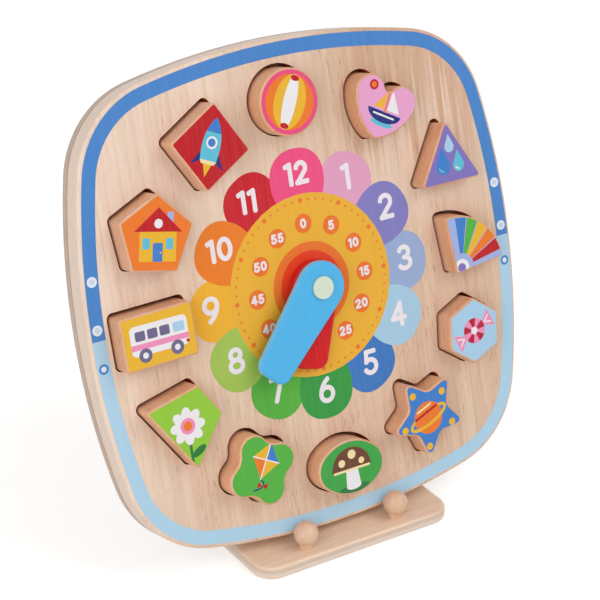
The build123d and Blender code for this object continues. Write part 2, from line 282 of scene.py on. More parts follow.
class ClockStage(bpy.types.PropertyGroup):
    """Camera and lights."""

    azimuth: FloatProperty(
        name="Azimuth", description="Turn of the view about the upright, nought from the front",
        default=radians(-32.29), subtype="ANGLE",
    )
    elevation: FloatProperty(
        name="Elevation", description="How far the view looks down",
        default=radians(25.93), subtype="ANGLE",
    )
    camera_place: FloatVectorProperty(
        name="Camera place", description="Camera from the middle of the dial",
        default=(-0.5725, -0.8926, 0.5056), subtype="TRANSLATION", unit="LENGTH",
    )
    focal_length: FloatProperty(
        name="Focal length", description="Lens in millimetres on a 36 mm sensor",
        default=116.94, min=1, unit="CAMERA",
    )
    key_power: FloatProperty(
        name="Key", description="Power of the soft key light", default=17.0, min=0, unit="POWER",
    )
    fill_power: FloatProperty(
        name="Fill", description="Power of the soft fill light", default=22.0, min=0, unit="POWER",
    )
    room_light: FloatProperty(
        name="Room", description="Strength of the even room light", default=0.6, min=0,
    )
    floor_lift: FloatProperty(
        name="Floor lift", description="Brightness added to the floor for the camera", default=0.42, min=0,
    )


# Node helpers
def new_group(name, inputs, outputs):
    """An empty shader node group with named sockets, its input node and its output node."""
    group = bpy.data.node_groups.new(name, "ShaderNodeTree")
    for way, sockets in (("INPUT", inputs), ("OUTPUT", outputs)):
        for socket, kind in sockets.items():
            group.interface.new_socket(name=socket, in_out=way, socket_type=f"NodeSocket{kind}")
    return group, group.nodes.new("NodeGroupInput"), group.nodes.new("NodeGroupOutput")


def feed(node, **sockets):
    """Set inputs of a node to values or link them to outputs: i0 is its first, and _ stands for a space."""
    for key, value in sockets.items():
        socket = node.inputs[int(key[1:]) if key[1:].isdigit() else key.replace("_", " ")]
        if isinstance(value, bpy.types.NodeSocket):
            node.id_data.links.new(value, socket)
        else:
            socket.default_value = value


def put(tree, kind, settings=None, **sockets):
    """A new node with its settings and its inputs fed."""
    node = tree.nodes.new(f"ShaderNode{kind}")
    for key, value in (settings or {}).items():
        setattr(node, key, value)
    feed(node, **sockets)
    return node


def mixed(tree, share, first, second):
    """The colour between two colours."""
    return put(tree, "Mix", {"data_type": "RGBA"}, i0=share, i6=first, i7=second).outputs[2]


def calc(tree, operation, first, second=0.0):
    """One sum on two values."""
    return put(tree, "Math", {"operation": operation}, i0=first, i1=second).outputs[0]


def times(tree, value, *others):
    """The product of values."""
    for other in others:
        value = calc(tree, "MULTIPLY", value, other)
    return value


def dotted(tree, vector, axis):
    """The part of a vector that lies along an axis."""
    return put(tree, "VectorMath", {"operation": "DOT_PRODUCT"}, i0=vector, i1=axis).outputs["Value"]


def along(tree, axis):
    """How far a spot lies from the middle of the dial along an axis."""
    spot = put(tree, "TexCoord").outputs["Object"]
    offset = put(tree, "VectorMath", {"operation": "SUBTRACT"}, i0=spot, i1=DIAL)
    return dotted(tree, offset.outputs[0], axis)


def facing(tree, axis):
    """How squarely a surface faces along an axis."""
    return dotted(tree, put(tree, "TexCoord").outputs["Normal"], axis)


def ranged(tree, value, low, high, to_low=0.0, to_high=1.0):
    """A value carried smoothly from one range to another, held at its ends."""
    smooth = {"interpolation_type": "SMOOTHSTEP"}
    return put(tree, "MapRange", smooth, i0=value, i1=low, i2=high, i3=to_low, i4=to_high).outputs[0]


def noise(tree, vector, marking):
    """Noise drawn out along the grain, with a marking's sizes and detail."""
    scale = (1 / (marking.across * MM), 1 / (marking.across * MM), 1 / (marking.length * MM))
    drawn = put(tree, "Mapping", Vector=vector, Scale=scale).outputs[0]
    cloud = {"Scale": 1.0, "Detail": marking.detail, "Roughness": 0.55, "Distortion": 0.2}
    return put(tree, "TexNoise", Vector=drawn, **cloud).outputs[0]


def streaks(tree, vector, marking):
    """A marking along the grain, from its first share to its second."""
    return ranged(tree, noise(tree, vector, marking), *marking.fade, *marking.share)


def timber_group():
    """Timber with tone bands, streaks, fibres and pores along its third axis."""
    if "Timber grain" in bpy.data.node_groups:
        return bpy.data.node_groups["Timber grain"]
    tree, given, made = new_group(
        "Timber grain",
        {
            "Grain Vector": "Vector", "Pale": "Color", "Deep": "Color", "Blush": "Color", "Pore": "Color",
            "Pores": "Float",
        },
        {"Color": "Color", "Roughness": "Float", "Height": "Float"},
    )
    vector = given.outputs["Grain Vector"]
    fibres = noise(tree, vector, FIBRES)
    pores = streaks(tree, vector, PORES)
    depth = calc(tree, "ADD", streaks(tree, vector, BANDS), streaks(tree, vector, LINES))
    depth = calc(tree, "ADD", depth, ranged(tree, fibres, *FIBRES.fade, *FIBRES.share))
    colour = mixed(tree, depth, given.outputs["Pale"], given.outputs["Deep"])
    colour = mixed(tree, streaks(tree, vector, FLECKS), colour, given.outputs["Blush"])
    pored = times(tree, pores, given.outputs["Pores"], streaks(tree, vector, PORE_PATCHES))
    feed(
        made,
        Color=mixed(tree, pored, colour, given.outputs["Pore"]),
        Roughness=ranged(tree, fibres, *WIDE_NOISE, *TIMBER_ROUGHNESS),
        Height=calc(tree, "SUBTRACT", fibres, pores),
    )
    return tree


def ink_group():
    """A thin coat of ink or paint over timber: faint fibres show through in tone and gloss."""
    if "Thin coat" in bpy.data.node_groups:
        return bpy.data.node_groups["Thin coat"]
    tree, given, made = new_group(
        "Thin coat",
        {"Grain Vector": "Vector", "Coat": "Color", "Show": "Float"},
        {"Color": "Color", "Roughness": "Float", "Height": "Float"},
    )
    vector = given.outputs["Grain Vector"]
    fibres = noise(tree, vector, COAT_FIBRES)
    clouds = noise(tree, vector, COAT_CLOUDS)
    thin = times(tree, ranged(tree, fibres, *COAT_FIBRES.fade), given.outputs["Show"])
    colour = mixed(tree, thin, given.outputs["Coat"], SHOWN_TIMBER)
    cloudy = times(tree, ranged(tree, clouds, *COAT_CLOUDS.fade), given.outputs["Show"])
    feed(
        made,
        Color=mixed(tree, cloudy, colour, CLOUD_TONE),
        Roughness=ranged(tree, clouds, *MIDDLE_NOISE, *COAT_ROUGHNESS),
        Height=fibres,
    )
    return tree


def edge_group():
    """Mask of the surfaces that face away from a board's own axis: its edges and the walls of its cuts."""
    if "Board edges" in bpy.data.node_groups:
        return bpy.data.node_groups["Board edges"]
    tree, given, made = new_group("Board edges", {"Axis": "Vector"}, {"Mask": "Float"})
    square_on = calc(tree, "ABSOLUTE", facing(tree, given.outputs["Axis"]))
    feed(made, Mask=ranged(tree, square_on, *EDGE_FADE, 1.0, 0.0))
    return tree


def opaque(colour):
    """A stored colour with full alpha."""
    return (*colour, 1.0)


def new_material(name):
    """A material with its Principled shader, ready for nodes."""
    material = bpy.data.materials.new(name)
    material.use_nodes = True
    return material, material.node_tree, material.node_tree.nodes["Principled BSDF"]


def grain_vector(tree, turn):
    """Object coordinates turned so that the grain runs along the third axis."""
    place = put(tree, "TexCoord").outputs["Object"]
    return put(tree, "VectorRotate", {"rotation_type": "EULER_XYZ"}, Vector=place, Rotation=turn).outputs[0]


def lay(tree, shader, layer, relief, gloss):
    """Take a layer's colour, roughness and relief, in millimetres, to the shader and set its gloss."""
    made = layer.outputs
    normal = put(tree, "Bump", Height=made["Height"], Strength=0.5, Distance=relief * MM).outputs[0]
    feed(shader, Base_Color=made["Color"], Roughness=made["Roughness"])
    feed(shader, Normal=normal, Specular_IOR_Level=gloss)


def timber(name, pale, deep, turn, pores=0.5, blush="blush"):
    """Clear lacquered timber; also its tree, shader and colour for further work."""
    finishes = bpy.context.scene.clock_finishes
    material, tree, shader = new_material(name)
    tones = {"Pale": pale, "Deep": deep, "Blush": blush, "Pore": "board_pore"}
    tones = {socket: opaque(getattr(finishes, tone)) for socket, tone in tones.items()}
    vector = grain_vector(tree, turn)
    grain = put(tree, "Group", {"node_tree": timber_group()}, Grain_Vector=vector, Pores=pores, **tones)
    lay(tree, shader, grain, GRAIN_RELIEF, TIMBER_GLOSS)
    return material, tree, shader, grain.outputs["Color"]


def edge_mask(tree, axis):
    """The mask of a board's edges, from the axis that its faces look along."""
    return put(tree, "Group", {"node_tree": edge_group()}, Axis=axis).outputs["Mask"]


def toned_edges(tree, shader, colour, axis, tone, share):
    """Paint light onto the edges of a board as a tone of their own; also the mask and the new colour for
    further work.
    """
    mask = edge_mask(tree, axis)
    edge = mixed(tree, times(tree, mask, share), colour, opaque(tone))
    feed(shader, Base_Color=edge)
    return mask, edge


def coat(name, colour, turn=UP_THE_BOARD, show=COAT_SHOW, side=None):
    """Ink or paint with as much of the grain showing as asked and, if given, a lighter tone on its sides
    that is painted light lifting their shade.
    """
    material, tree, shader = new_material(name)
    vector = grain_vector(tree, turn)
    layer = put(
        tree, "Group", {"node_tree": ink_group()}, Grain_Vector=vector, Coat=opaque(colour), Show=show,
    )
    lay(tree, shader, layer, COAT_RELIEF, COAT_GLOSS)
    if side is not None:
        # Sides in a lighter tone: painted light
        toned_edges(tree, shader, layer.outputs["Color"], NORMAL, side, 1.0)
    return material


def ink(name):
    """The printed ink of that name, made once."""
    label = f"ink_{name}"
    if label not in bpy.data.materials:
        coat(label, getattr(bpy.context.scene.clock_inks, name))
    return bpy.data.materials[label]


def dress(node, material):
    """Give a solid its finish."""
    mesh = frame["nodes"][node].data
    mesh.materials.clear()
    mesh.materials.append(material)


# Drawing on a plane, in millimetres
def arc(centre, radius, start, end, squash=1.0):
    """Points on an arc, from one angle to another in degrees, with its height squashed."""
    count = max(2, int(abs(end - start) / ARC_STEP) + 1)
    angles = [radians(start + (end - start) * step / (count - 1)) for step in range(count)]
    return [(centre[0] + radius * cos(a), centre[1] + radius * squash * sin(a)) for a in angles]


def disc(centre, radius, squash=1.0):
    """A filled circle, or an oval where its height is squashed."""
    return arc(centre, radius, 0, 360, squash)[:-1]


def squarer(points, power):
    """Points of a unit circle drawn out towards its square, the more so for a lower power."""
    return [(copysign(abs(x) ** power, x), copysign(abs(y) ** power, y)) for x, y in points]


def curve(start, pull, end):
    """Points on a curve from start to end, drawn towards a third point."""
    points = []
    for step in range(CURVE_STEPS + 1):
        t = step / CURVE_STEPS
        first, drawn, last = (1 - t) ** 2, 2 * t * (1 - t), t * t
        points.append(tuple(first * a + drawn * b + last * c for a, b, c in zip(start, pull, end)))
    return points


def stroke(points, width, power=1.0):
    """A pen stroke along points, as quads and two ends that are round, or squarer for a lower power."""
    half = width / 2
    sides = []
    for index, (x, y) in enumerate(points):
        before = points[max(index - 1, 0)]
        after = points[min(index + 1, len(points) - 1)]
        length = hypot(after[0] - before[0], after[1] - before[1])
        across = (-(after[1] - before[1]) / length * half, (after[0] - before[0]) / length * half)
        sides.append(((x + across[0], y + across[1]), (x - across[0], y - across[1])))
    quads = [[b[0], a[0], a[1], b[1]] for a, b in zip(sides, sides[1:])]
    ends = []
    for (x, y), near in ((points[0], points[1]), (points[-1], points[-2])):
        turn = degrees(atan2(near[1] - y, x - near[0]))
        ends += placed([squarer(disc((0, 0), 1), power)], (x, y), turn, half)
    return quads + ends


def placed(polygons, shift=(0.0, 0.0), turn=0.0, grow=1.0):
    """Polygons grown, turned clockwise in degrees, then shifted."""
    c, s = grow * cos(radians(turn)), grow * sin(radians(turn))
    return [[(x * c + y * s + shift[0], y * c - x * s + shift[1]) for x, y in shape] for shape in polygons]


# Numbers drawn with a round pen: each digit's width and strokes, for a pen line one unit high
DIGITS = {
    "0": (0.64, [arc((0.32, 0.5), 0.32, 0, 360, 0.5 / 0.32)]),
    "1": (0.24, [[(0.0, 0.92), (0.24, 1.0)], [(0.24, 1.0), (0.24, 0.0)]]),
    "2": (0.58, [arc((0.28, 0.72), 0.28, 165, -38) + [(0.0, 0.0)], [(0.0, 0.0), (0.58, 0.0)]]),
    "3": (0.58, [arc((0.27, 0.755), 0.255, 155, -90, 0.96), arc((0.27, 0.255), 0.31, 90, -150, 0.82)]),
    "4": (0.66, [[(0.48, 0.0), (0.48, 1.0)], [(0.48, 1.0), (0.0, 0.3)], [(0.0, 0.3), (0.66, 0.3)]]),
    "5": (0.57, [[(0.52, 1), (0.1, 1)], [(0.1, 1), (0.06, 0.54)], arc((0.26, 0.31), 0.31, 130, -150)]),
    "6": (0.63, [arc((0.315, 0.31), 0.315, 0, 360), curve((0.0, 0.31), (0.03, 0.72), (0.42, 1.0))]),
    "7": (0.54, [[(0.0, 1.0), (0.54, 1.0)], [(0.54, 1.0), (0.16, 0.0)]]),
    "8": (0.62, [arc((0.31, 0.765), 0.25, 0, 360, 0.94), arc((0.31, 0.265), 0.31, 0, 360, 0.86)]),
    "9": (0.63, [arc((0.315, 0.69), 0.315, 0, 360), curve((0.63, 0.69), (0.6, 0.28), (0.21, 0.0))]),
}


def number(text, centre, height, pen):
    """A number about a centre, as pen stroke polygons."""
    line = height - pen
    gap = pen + DIGIT_GAP * height
    width = sum(DIGITS[digit][0] for digit in text) * line + gap * (len(text) - 1)
    left = centre[0] - width / 2
    polygons = []
    for digit in text:
        digit_width, strokes = DIGITS[digit]
        for points in strokes:
            spots = [(left + x * line, centre[1] + (y - 0.5) * line) for x, y in points]
            polygons += stroke(spots, pen, PEN_POWER)
        left += digit_width * line + gap
    return polygons


def face_loops(node):
    """Outlines of a node's flat front face in the board's plane, largest first, and its level."""
    mesh = frame["nodes"][node].data
    flat = [BOARD.inverted() @ vertex.co / MM for vertex in mesh.vertices]
    level = max(point.z for point in flat)
    follow = set()
    for face in mesh.polygons:
        corners = [flat[index] for index in face.vertices]
        if min(point.z for point in corners) > level - FLAT_TOLERANCE:
            keys = [(round(point.x, 3), round(point.y, 3)) for point in corners]
            for pair in zip(keys, keys[1:] + keys[:1]):
                if pair[::-1] in follow:
                    follow.remove(pair[::-1])
                else:
                    follow.add(pair)
    after = dict(follow)
    loops = []
    while after:
        loop = [next(iter(after))]
        while loop[-1] in after:
            loop.append(after.pop(loop[-1]))
        loops.append(loop[:-1])
    return sorted(loops, key=lambda loop: -abs(area(loop))), level


def area(loop):
    """Signed area of a closed outline."""
    return sum(a[0] * b[1] - b[0] * a[1] for a, b in zip(loop, loop[1:] + loop[:1])) / 2


def inset(loop, distance):
    """A closed outline, running anticlockwise, moved inwards."""
    moved = []
    for index, here in enumerate(loop):
        before = Vector(loop[index - 1])
        after = Vector(loop[(index + 1) % len(loop)])
        first = (Vector(here) - before).normalized()
        second = (after - Vector(here)).normalized()
        normals = Vector((-first.y, first.x)), Vector((-second.y, second.x))
        step = (normals[0] + normals[1]) / (1 + normals[0].dot(normals[1])) * distance
        moved.append((here[0] + step.x, here[1] + step.y))
    return moved


def print_sheet(name, ground, layers, level, body):
    """One thin printed sheet on the board's plane: later inks cover earlier ones, inside the ground."""
    outlines = list(ground)
    inks = [None] * len(outlines)
    for ink_name, polygons in layers:
        outlines += polygons
        inks += [ink_name] * len(polygons)
    points, faces = [], []
    for outline in outlines:
        turned = outline if area(outline) > 0 else outline[::-1]
        faces.append(list(range(len(points), len(points) + len(turned))))
        points += [Vector(point) for point in turned]
    spots, _, triangles, _, _, covers = delaunay_2d_cdt(points, [], faces, 1, WELD_DISTANCE)
    kept, painted = [], []
    for triangle, cover in zip(triangles, covers):
        if cover and min(cover) < len(ground) <= max(cover):
            kept.append(triangle)
            painted.append(inks[max(cover)])
    names = sorted(set(painted))
    lift = level * MM + bpy.context.scene.clock_finishes.ink_lift
    used = sorted({index for triangle in kept for index in triangle})
    place = {index: order for order, index in enumerate(used)}
    mesh = bpy.data.meshes.new(name)
    mesh.from_pydata(
        [BOARD @ Vector((spots[index].x * MM, spots[index].y * MM, lift)) for index in used],
        [],
        [[place[index] for index in triangle] for triangle in kept],
    )
    for ink_name in names:
        mesh.materials.append(ink(ink_name))
    for face, ink_name in zip(mesh.polygons, painted):
        face.material_index = names.index(ink_name)
    sheet = bpy.data.objects.new(name, mesh)
    bpy.context.scene.collection.objects.link(sheet)
    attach(sheet, body)


# Pictures on the blocks, about the middle of each block
def beach_ball():
    """Striped ball."""
    return [
        ("orange", [disc((0, 0), 12.6)]),
        ("sun", [disc((0, 0), 8.2, 12.6 / 8.2)]),
        ("white", [disc((0, 0), 3.4, 12.6 / 3.4)]),
        ("red", [disc((0, 11.0), 2.2, 0.6), disc((0, -11.0), 2.2, 0.6)]),
    ]


def sail_boat():
    """Small boat with two sails."""
    hull = arc((0, -4.6), 10.2, 180, 360, 0.55)
    return [
        ("cyan", [disc((0, -10.6), 7.0, 0.22)]),
        ("navy", [hull]),
        ("orange", stroke([(0, -4.4), (0, 7.6)], 1.1)),
        ("white", [[(1.2, -3.4), (8.8, -3.4), (1.2, 7.6)]]),
        ("sun", [[(-1.2, -3.4), (-7.0, -3.4), (-1.2, 5.6)]]),
        ("red", [disc((-10.6, 6.4), 2.6)]),
        ("orange", [disc((-10.6, 6.4), 1.5)]),
        ("white", stroke([(-6.2, -6.6), (6.2, -6.6)], 0.9)),
    ]


def drop(centre, radius):
    """Outline of a raindrop, point up."""
    sides = arc(centre, radius, 155, 385)
    return [*sides, (centre[0], centre[1] + radius * 2.3)]


def raindrops():
    """Three drops of rain."""
    return [
        ("blue", [drop((-4.6, -6.4), 4.6)]),
        ("cyan", [drop((5.4, -7.2), 3.6)]),
        ("sky", [drop((0.6, 3.4), 3.0)]),
        ("cyan", stroke(arc((-4.6, -6.4), 2.8, 200, 270), 1.0)),
        ("white", stroke(arc((5.4, -7.2), 2.0, 200, 270), 0.8)),
    ]


def colour_fan():
    """Fan of coloured leaves spread from one corner."""
    corner = (-11.2, -11.2)
    layers = []
    for index, ink_name in enumerate(("red", "orange", "sun", "grass", "blue")):
        first = 4 + index * 16.6
        leaf = arc(corner, 26.0, first, first + 15.2) + arc(corner, 7.5, first + 15.2, first)
        layers.append((ink_name, [leaf]))
    layers.append(("white", [disc(corner, 4.6)]))
    layers.append(("violet", [disc(corner, 2.4)]))
    return layers


def wrapped_sweet():
    """Sweet in a twisted wrapper."""
    bands = [arc((0, 0), 7.6, a, a + 34) + [(0, 0)] for a in range(20, 380, 72)]
    return [
        ("pink", [[(5.5, 0), (14.0, 6.0), (14.0, -6.0)], [(-5.5, 0), (-14.0, -6.0), (-14.0, 6.0)]]),
        ("white", stroke([(8.6, 0), (12.6, 2.4)], 0.9) + stroke([(8.6, 0), (12.6, -2.4)], 0.9)),
        ("white", stroke([(-8.6, 0), (-12.6, 2.4)], 0.9) + stroke([(-8.6, 0), (-12.6, -2.4)], 0.9)),
        ("crimson", [disc((0, 0), 7.6)]),
        ("pink", bands),
        ("white", [disc((0, 0), 2.3)]),
    ]


def ringed_planet():
    """Planet with bands and a tilted ring."""
    tilt = 10
    ring = placed(stroke(arc((0, 0), 14.0, 0, 360, 0.3), 2.0), turn=tilt)
    front = placed(stroke(arc((0, 0), 14.0, 188, 352, 0.3), 2.0), turn=tilt)
    moons = [placed([disc((0, 18.6), 2.3)], turn=turn)[0] for turn in range(0, 360, 72)]
    return [
        ("sun", moons),
        ("sun", ring),
        ("orange", [disc((0, 0), 10.4)]),
        ("red", placed(stroke([(-8.4, 3.6), (8.4, 3.6)], 1.7), turn=tilt)),
        ("cream", placed(stroke([(-5.4, 7.0), (5.4, 7.0)], 1.3), turn=tilt)),
        ("sun", front),
    ]


def mushroom():
    """Spotted mushroom."""
    return [
        ("green", [disc((0, -11.8), 9.5, 0.24)]),
        ("white", [[(-3.6, 0), (-4.6, -10.6), (4.6, -10.6), (3.6, 0)], disc((0, -10.6), 4.6, 0.4)]),
        ("brown", [arc((0, -1.0), 12.4, 0, 180, 0.98)]),
        ("cream", [disc((-5.8, 3.4), 2.1), disc((1.0, 7.0), 2.5), disc((6.6, 2.2), 1.8)]),
        ("cream", stroke([(-11.0, -1.2), (11.0, -1.2)], 1.3)),
    ]


def toy_kite():
    """Kite with a bowed tail."""
    top, left, right, foot, middle = (0, 15.4), (-8.2, 5.8), (8.2, 5.8), (0, -5.0), (0, 5.8)
    tail = curve(foot, (6.6, -7.6), (-2.0, -11.8))
    return [
        ("navy", stroke(tail, 0.8)),
        ("red", [[(2.2, -8.0), (5.4, -6.0), (5.0, -9.8)], [(2.2, -8.0), (-0.6, -10.2), (-0.8, -6.6)]]),
        ("sun", [[middle, top, left], [middle, foot, right]]),
        ("orange", [[middle, left, foot]]),
        ("blue", [[middle, right, top]]),
        ("white", stroke([left, right], 0.7) + stroke([top, foot], 0.7)),
    ]


def daisy():
    """Flower on a stem."""
    petals = [placed([disc((0, 5.4), 2.5, 1.5)], turn=turn)[0] for turn in range(0, 360, 45)]
    return [
        ("green", stroke([(0, 0), (0, -17.0)], 1.4)),
        ("green", placed([disc((4.0, 0), 4.2, 0.44)], (0.4, -13.4), -28)),
        ("white", placed(petals, (0, 1.6))),
        ("pink", placed([disc((0, 0), 3.9)], (0, 1.6))),
        ("orange", placed([disc((0, 0), 2.3)], (0, 1.6))),
    ]


def rounded_box(low, high, corner):
    """Outline of a box with round corners."""
    (x0, y0), (x1, y1) = low, high
    points = arc((x1 - corner, y0 + corner), corner, -90, 0)
    points += arc((x1 - corner, y1 - corner), corner, 0, 90)
    points += arc((x0 + corner, y1 - corner), corner, 90, 180)
    points += arc((x0 + corner, y0 + corner), corner, 180, 270)
    return points


def toy_bus():
    """Bus seen from its side."""
    windows = [rounded_box((x, 0.6), (x + 5.4, 5.4), 0.9) for x in (-12.8, -6.2, 0.4)]
    return [
        ("white", [rounded_box((-15.4, -6.6), (15.4, 8.2), 2.6)]),
        ("slate", windows),
        ("sky", [rounded_box((7.6, 0.6), (13.8, 5.4), 0.9)]),
        ("pink", [[(-15.4, -3.6), (15.4, -3.6), (15.4, -0.8), (-15.4, -0.8)]]),
        ("slate", [disc((-8.6, -6.8), 3.5), disc((8.6, -6.8), 3.5)]),
        ("white", [disc((-8.6, -6.8), 1.5), disc((8.6, -6.8), 1.5)]),
        ("red", [disc((14.6, -4.9), 0.9)]),
    ]


def little_house():
    """House with a door and two windows."""
    return [
        ("lavender", [[(4.6, 4.0), (7.8, 4.0), (7.8, 11.0), (4.6, 11.0)]]),
        ("sun", [[(-9.6, -12.4), (9.6, -12.4), (9.6, 2.4), (-9.6, 2.4)]]),
        ("red", [[(-12.6, 1.6), (12.6, 1.6), (0, 13.0)]]),
        ("blue", [rounded_box((-2.6, -12.4), (2.6, -3.6), 0.6)]),
        ("cyan", [rounded_box((-8.0, -6.6), (-4.2, -1.4), 0.4), rounded_box((4.2, -6.6), (8.0, -1.4), 0.4)]),
        ("white", [disc((0, 5.4), 2.2)]),
        ("sun", [disc((1.6, -8.2), 0.5)]),
    ]


def toy_rocket():
    """Rocket with fins and a flame."""
    side = curve((0, 14.4), (6.6, 6.8), (4.4, -6.4))
    body = side + [(-x, y) for x, y in reversed(side)][:-1]
    nose = [point for point in body if point[1] > 6.4]
    return [
        ("sun", [[(-2.6, -7.4), (2.6, -7.4), (0, -14.4)]]),
        ("navy", [[(3.6, -0.6), (9.2, -9.8), (3.8, -6.8)], [(-3.6, -0.6), (-3.8, -6.8), (-9.2, -9.8)]]),
        ("cyan", [body]),
        ("blue", [nose]),
        ("white", [disc((0, 2.2), 3.0)]),
        ("blue", [disc((0, 2.2), 2.0)]),
        ("cream", [[(-4.6, -6.4), (4.6, -6.4), (3.4, -8.2), (-3.4, -8.2)]]),
    ]


# Each block's ground ink, picture, the picture's turn clockwise in degrees and its growth
BLOCK_PRINTS = {
    "circle": ("rose", beach_ball, 24, 1.3),
    "heart": ("blush", sail_boat, 29, 1.2),
    "triangle": ("violet", raindrops, 0, 1.15),
    "quarter_circle": ("lavender", colour_fan, -6, 1.22),
    "hexagon": ("sky", wrapped_sweet, -24, 1.06),
    "star": ("blue", ringed_planet, -31, 1.0),
    "oval": ("leaf", mushroom, 0, 1.14),
    "quatrefoil": ("grass", toy_kite, 28, 1.12),
    "trapezoid": ("lime", daisy, 0, 1.25),
    "rectangle": ("sun", toy_bus, 0, 1.2),
    "pentagon": ("orange", little_house, 12, 1.22),
    "square": ("red", toy_rocket, 24, 1.22),
}


def petal_outline(reach, half):
    """A petal that narrows to the middle of the dial, with a slightly flattened tip."""
    middle = reach - half
    taper = degrees(asin(half / middle))
    tip = squarer(arc((0, 0), 1, -taper, 180 + taper), PETAL_POWER)
    return [(0.0, 0.0), *((half * x, middle + half * y) for x, y in tip)]


class CLOCK_OT_dress_stand(bpy.types.Operator):
    """Finish the base, the back rest, the pegs and the screws"""

    bl_idname = "clock.dress_stand"
    bl_label = "Dress stand"

    # Edges of the base: share of their own paler tone, which is painted bounce light, share of their upper
    # layer, and where that starts as shares of the height
    edge_share = 0.8
    layer_share = 0.8
    layer_start = (0.42, 0.62)
    # Turning marks on the screws: their tone, how fine they are, and the roughness between and on them
    dull_steel = (0.30, 0.30, 0.32, 1.0)
    mark_scale = 2600.0
    steel_roughness = (0.25, 0.42)

    def execute(self, context):
        finishes = context.scene.clock_finishes
        dress("base_plate", self.base_timber(finishes))
        dress("back_rest", timber("rest_timber", "stand_pale", "stand_deep", UP_THE_BOARD, pores=0.2)[0])
        pegs, _, shader, _ = timber("peg_timber", "peg_pale", "peg_deep", UPRIGHT, pores=0.3)
        feed(shader, Coat_Weight=0.4, Coat_Roughness=0.22)
        steel = self.screw_steel(finishes)
        for side in ("left", "right"):
            dress(f"peg_{side}", pegs)
            dress(f"screw_{side}", steel)
        return {"FINISHED"}

    def base_timber(self, finishes):
        """Timber along the base, with a deeper layer in the upper part of its edges."""
        base, tree, shader, colour = timber(
            "base_timber", "stand_pale", "stand_deep", ALONG_THE_BASE, pores=0.2,
        )
        upwards = (0.0, 0.0, 1.0)
        # Edges of the base paler and greyer: painted bounce light
        mask, edge = toned_edges(tree, shader, colour, upwards, finishes.stand_edge, self.edge_share)
        height = put(tree, "SeparateXYZ", Vector=put(tree, "TexCoord").outputs["Object"]).outputs["Z"]
        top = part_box("base_plate")[1].z
        low, high = (share * top for share in self.layer_start)
        layer = times(tree, mask, ranged(tree, height, low, high, 0.0, self.layer_share))
        feed(shader, Base_Color=mixed(tree, layer, edge, opaque(finishes.stand_ply)))
        return base

    def screw_steel(self, finishes):
        """Plated steel with fine turning marks."""
        steel, tree, shader = new_material("screw_steel")
        place = put(tree, "TexCoord").outputs["Object"]
        marks = put(tree, "TexNoise", Vector=place, Scale=self.mark_scale, Detail=2.0).outputs[0]
        tone = mixed(tree, marks, opaque(finishes.steel), self.dull_steel)
        roughness = ranged(tree, marks, *MIDDLE_NOISE, *self.steel_roughness)
        feed(shader, Base_Color=tone, Roughness=roughness, Metallic=1.0)
        return steel


